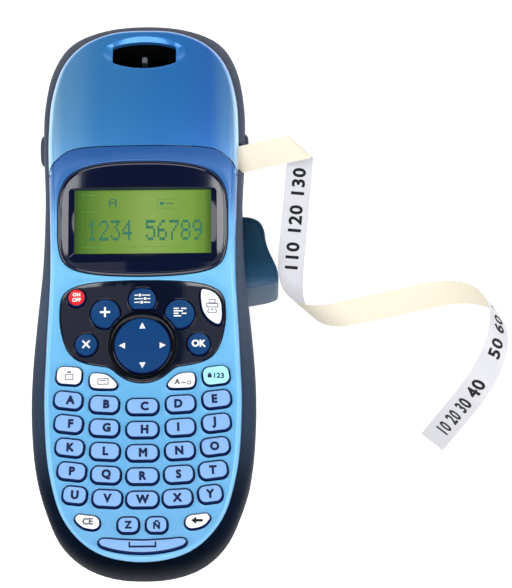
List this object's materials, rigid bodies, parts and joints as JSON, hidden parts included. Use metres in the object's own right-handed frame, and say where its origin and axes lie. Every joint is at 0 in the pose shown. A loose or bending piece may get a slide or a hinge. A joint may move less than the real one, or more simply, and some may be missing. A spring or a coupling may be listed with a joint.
{
  "type": "label maker",
  "caption": "Hand-held label maker with a display, letter keys, side cutter lever and a printed strip curling out of its side.",
  "frame": {"origin": "centre line of the flat back, level with the middle of the body", "axes": "+X to the cutter lever's side, +Y to the head end with the cassette, +Z out of the front face"},
  "size_m": [0.1507, 0.1893, 0.0469],
  "materials": {
    "housing_charcoal": "satin",
    "shell_blue": "satin metallic paint",
    "cover_blue": "satin metallic paint",
    "panel_navy": "gloss",
    "bezel_navy": "gloss",
    "lcd_green": "satin",
    "key_blue": "satin",
    "key_white": "satin",
    "key_cyan": "satin",
    "key_red": "satin",
    "key_navy": "satin",
    "nav_blue": "satin",
    "lever_teal": "satin",
    "blade_steel": "brushed",
    "platen_rubber": "matt",
    "gear_nylon": "matt",
    "tape_white": "matt",
    "strip_white": "satin",
    "board_green": "satin",
    "head_ceramic": "satin",
    "motor_steel": "brushed",
    "cassette_grey": "satin",
    "cell_jacket": "gloss"
  },
  "bodies": {
    "case": {"rear_housing": "housing_charcoal", "front_shell": "shell_blue", "display_bezel": "bezel_navy", "lcd_module": "lcd_green", "key_panel": "panel_navy", "main_board": "board_green", "print_head": "head_ceramic", "feed_motor": "motor_steel", "label_cassette": "cassette_grey", "battery_pack": "cell_jacket", "label_strip": "strip_white"},
    "cassette_cover": {"cassette_cover": "cover_blue"},
    "cutter_lever": {"cutter_lever": "lever_teal"},
    "cutter_blade": {"cutter_blade": "blade_steel"},
    "platen_roller": {"platen_roller": "platen_rubber"},
    "drive_gear": {"drive_gear": "gear_nylon"},
    "tape_spool": {"tape_spool": "tape_white"},
    "battery_door": {"battery_door": "housing_charcoal"},
    "key_a": {"key_a": "key_blue"},
    "key_b": {"key_b": "key_blue"},
    "key_c": {"key_c": "key_blue"},
    "key_d": {"key_d": "key_blue"},
    "key_e": {"key_e": "key_blue"},
    "key_f": {"key_f": "key_blue"},
    "key_g": {"key_g": "key_blue"},
    "key_h": {"key_h": "key_blue"},
    "key_i": {"key_i": "key_blue"},
    "key_j": {"key_j": "key_blue"},
    "key_k": {"key_k": "key_blue"},
    "key_l": {"key_l": "key_blue"},
    "key_m": {"key_m": "key_blue"},
    "key_n": {"key_n": "key_blue"},
    "key_o": {"key_o": "key_blue"},
    "key_p": {"key_p": "key_blue"},
    "key_q": {"key_q": "key_blue"},
    "key_r": {"key_r": "key_blue"},
    "key_s": {"key_s": "key_blue"},
    "key_t": {"key_t": "key_blue"},
    "key_u": {"key_u": "key_blue"},
    "key_v": {"key_v": "key_blue"},
    "key_w": {"key_w": "key_blue"},
    "key_x": {"key_x": "key_blue"},
    "key_y": {"key_y": "key_blue"},
    "key_z": {"key_z": "key_blue"},
    "key_n_tilde": {"key_n_tilde": "key_blue"},
    "key_space": {"key_space": "key_blue"},
    "key_clear": {"key_clear": "key_white"},
    "key_backspace": {"key_backspace": "key_white"},
    "key_memory": {"key_memory": "key_white"},
    "key_text_size": {"key_text_size": "key_white"},
    "key_preview": {"key_preview": "key_white"},
    "key_print": {"key_print": "key_white"},
    "key_number_lock": {"key_number_lock": "key_cyan"},
    "key_on_off": {"key_on_off": "key_red"},
    "key_settings": {"key_settings": "key_navy"},
    "key_insert": {"key_insert": "key_navy"},
    "key_format": {"key_format": "key_navy"},
    "key_cancel": {"key_cancel": "key_navy"},
    "key_ok": {"key_ok": "key_navy"},
    "nav_pad": {"nav_pad": "nav_blue"}
  },
  "joints": [
    {"name": "key_a_press", "type": "slide", "parent": "case", "child": "key_a", "axis": [0, 0, -1], "range_m": [0, 0.0008], "stiffness_N_per_m": 1500},
    {"name": "key_b_press", "type": "slide", "parent": "case", "child": "key_b", "axis": [0, 0, -1], "range_m": [0, 0.0008], "stiffness_N_per_m": 1500},
    {"name": "key_c_press", "type": "slide", "parent": "case", "child": "key_c", "axis": [0, 0, -1], "range_m": [0, 0.0008], "stiffness_N_per_m": 1500},
    {"name": "key_d_press", "type": "slide", "parent": "case", "child": "key_d", "axis": [0, 0, -1], "range_m": [0, 0.0008], "stiffness_N_per_m": 1500},
    {"name": "key_e_press", "type": "slide", "parent": "case", "child": "key_e", "axis": [0, 0, -1], "range_m": [0, 0.0008], "stiffness_N_per_m": 1500},
    {"name": "key_f_press", "type": "slide", "parent": "case", "child": "key_f", "axis": [0, 0, -1], "range_m": [0, 0.0008], "stiffness_N_per_m": 1500},
    {"name": "key_g_press", "type": "slide", "parent": "case", "child": "key_g", "axis": [0, 0, -1], "range_m": [0, 0.0008], "stiffness_N_per_m": 1500},
    {"name": "key_h_press", "type": "slide", "parent": "case", "child": "key_h", "axis": [0, 0, -1], "range_m": [0, 0.0008], "stiffness_N_per_m": 1500},
    {"name": "key_i_press", "type": "slide", "parent": "case", "child": "key_i", "axis": [0, 0, -1], "range_m": [0, 0.0008], "stiffness_N_per_m": 1500},
    {"name": "key_j_press", "type": "slide", "parent": "case", "child": "key_j", "axis": [0, 0, -1], "range_m": [0, 0.0008], "stiffness_N_per_m": 1500},
    {"name": "key_k_press", "type": "slide", "parent": "case", "child": "key_k", "axis": [0, 0, -1], "range_m": [0, 0.0008], "stiffness_N_per_m": 1500},
    {"name": "key_l_press", "type": "slide", "parent": "case", "child": "key_l", "axis": [0, 0, -1], "range_m": [0, 0.0008], "stiffness_N_per_m": 1500},
    {"name": "key_m_press", "type": "slide", "parent": "case", "child": "key_m", "axis": [0, 0, -1], "range_m": [0, 0.0008], "stiffness_N_per_m": 1500},
    {"name": "key_n_press", "type": "slide", "parent": "case", "child": "key_n", "axis": [0, 0, -1], "range_m": [0, 0.0008], "stiffness_N_per_m": 1500},
    {"name": "key_o_press", "type": "slide", "parent": "case", "child": "key_o", "axis": [0, 0, -1], "range_m": [0, 0.0008], "stiffness_N_per_m": 1500},
    {"name": "key_p_press", "type": "slide", "parent": "case", "child": "key_p", "axis": [0, 0, -1], "range_m": [0, 0.0008], "stiffness_N_per_m": 1500},
    {"name": "key_q_press", "type": "slide", "parent": "case", "child": "key_q", "axis": [0, 0, -1], "range_m": [0, 0.0008], "stiffness_N_per_m": 1500},
    {"name": "key_r_press", "type": "slide", "parent": "case", "child": "key_r", "axis": [0, 0, -1], "range_m": [0, 0.0008], "stiffness_N_per_m": 1500},
    {"name": "key_s_press", "type": "slide", "parent": "case", "child": "key_s", "axis": [0, 0, -1], "range_m": [0, 0.0008], "stiffness_N_per_m": 1500},
    {"name": "key_t_press", "type": "slide", "parent": "case", "child": "key_t", "axis": [0, 0, -1], "range_m": [0, 0.0008], "stiffness_N_per_m": 1500},
    {"name": "key_u_press", "type": "slide", "parent": "case", "child": "key_u", "axis": [0, 0, -1], "range_m": [0, 0.0008], "stiffness_N_per_m": 1500},
    {"name": "key_v_press", "type": "slide", "parent": "case", "child": "key_v", "axis": [0, 0, -1], "range_m": [0, 0.0008], "stiffness_N_per_m": 1500},
    {"name": "key_w_press", "type": "slide", "parent": "case", "child": "key_w", "axis": [0, 0, -1], "range_m": [0, 0.0008], "stiffness_N_per_m": 1500},
    {"name": "key_x_press", "type": "slide", "parent": "case", "child": "key_x", "axis": [0, 0, -1], "range_m": [0, 0.0008], "stiffness_N_per_m": 1500},
    {"name": "key_y_press", "type": "slide", "parent": "case", "child": "key_y", "axis": [0, 0, -1], "range_m": [0, 0.0008], "stiffness_N_per_m": 1500},
    {"name": "key_z_press", "type": "slide", "parent": "case", "child": "key_z", "axis": [0, 0, -1], "range_m": [0, 0.0008], "stiffness_N_per_m": 1500},
    {"name": "key_n_tilde_press", "type": "slide", "parent": "case", "child": "key_n_tilde", "axis": [0, 0, -1], "range_m": [0, 0.0008], "stiffness_N_per_m": 1500},
    {"name": "key_space_press", "type": "slide", "parent": "case", "child": "key_space", "axis": [0, 0, -1], "range_m": [0, 0.0008], "stiffness_N_per_m": 1500},
    {"name": "key_clear_press", "type": "slide", "parent": "case", "child": "key_clear", "axis": [0, 0, -1], "range_m": [0, 0.0008], "stiffness_N_per_m": 1500},
    {"name": "key_backspace_press", "type": "slide", "parent": "case", "child": "key_backspace", "axis": [0, 0, -1], "range_m": [0, 0.0008], "stiffness_N_per_m": 1500},
    {"name": "key_memory_press", "type": "slide", "parent": "case", "child": "key_memory", "axis": [0, 0, -1], "range_m": [0, 0.0008], "stiffness_N_per_m": 1500},
    {"name": "key_text_size_press", "type": "slide", "parent": "case", "child": "key_text_size", "axis": [0, 0, -1], "range_m": [0, 0.0008], "stiffness_N_per_m": 1500},
    {"name": "key_preview_press", "type": "slide", "parent": "case", "child": "key_preview", "axis": [0, 0, -1], "range_m": [0, 0.0008], "stiffness_N_per_m": 1500},
    {"name": "key_print_press", "type": "slide", "parent": "case", "child": "key_print", "axis": [0, 0, -1], "range_m": [0, 0.0008], "stiffness_N_per_m": 1500},
    {"name": "key_number_lock_press", "type": "slide", "parent": "case", "child": "key_number_lock", "axis": [0, 0, -1], "range_m": [0, 0.0008], "stiffness_N_per_m": 1500},
    {"name": "key_on_off_press", "type": "slide", "parent": "case", "child": "key_on_off", "axis": [0, 0, -1], "range_m": [0, 0.0008], "stiffness_N_per_m": 1500},
    {"name": "key_settings_press", "type": "slide", "parent": "case", "child": "key_settings", "axis": [0, 0, -1], "range_m": [0, 0.0008], "stiffness_N_per_m": 1500},
    {"name": "key_insert_press", "type": "slide", "parent": "case", "child": "key_insert", "axis": [0, 0, -1], "range_m": [0, 0.0008], "stiffness_N_per_m": 1500},
    {"name": "key_format_press", "type": "slide", "parent": "case", "child": "key_format", "axis": [0, 0, -1], "range_m": [0, 0.0008], "stiffness_N_per_m": 1500},
    {"name": "key_cancel_press", "type": "slide", "parent": "case", "child": "key_cancel", "axis": [0, 0, -1], "range_m": [0, 0.0008], "stiffness_N_per_m": 1500},
    {"name": "key_ok_press", "type": "slide", "parent": "case", "child": "key_ok", "axis": [0, 0, -1], "range_m": [0, 0.0008], "stiffness_N_per_m": 1500},
    {"name": "nav_pad_press", "type": "slide", "parent": "case", "child": "nav_pad", "axis": [0, 0, -1], "range_m": [0, 0.0008], "stiffness_N_per_m": 1500},
    {"name": "cover_hinge", "type": "hinge", "parent": "case", "child": "cassette_cover", "pos_m": [0, 0.0386, 0.0426], "axis": [1, 0, 0], "range_deg": [0, 60]},
    {"name": "lever_pivot", "type": "hinge", "parent": "case", "child": "cutter_lever", "pos_m": [0.0268, 0.025, 0.02], "axis": [0, 0, 1], "range_deg": [-8, 0], "stiffness_Nm_per_rad": 1},
    {"name": "blade_slide", "type": "slide", "parent": "case", "child": "cutter_blade", "axis": [0, 1, 0], "range_m": [0, 0.003]},
    {"name": "drive_spin", "type": "hinge", "parent": "case", "child": "drive_gear", "pos_m": [-0.0013, 0.0413, 0.0175], "axis": [0, 0, 1], "continuous": true},
    {"name": "platen_spin", "type": "hinge", "parent": "case", "child": "platen_roller", "pos_m": [0.0115, 0.0413, 0.03], "axis": [0, 0, 1], "continuous": true},
    {"name": "spool_spin", "type": "hinge", "parent": "case", "child": "tape_spool", "pos_m": [-0.009, 0.0627, 0.025], "axis": [0, 0, 1], "continuous": true},
    {"name": "battery_door_hinge", "type": "hinge", "parent": "case", "child": "battery_door", "pos_m": [0, -0.0556, 0.0012], "axis": [1, 0, 0], "range_deg": [-100, 0]}
  ],
  "couplings": [
    {"joint": "blade_slide", "follows": "lever_pivot", "m_per_rad": -0.0205},
    {"joint": "platen_spin", "follows": "drive_spin", "ratio": -1.6667},
    {"joint": "spool_spin", "follows": "drive_spin", "ratio": 0.56667}
  ]
}
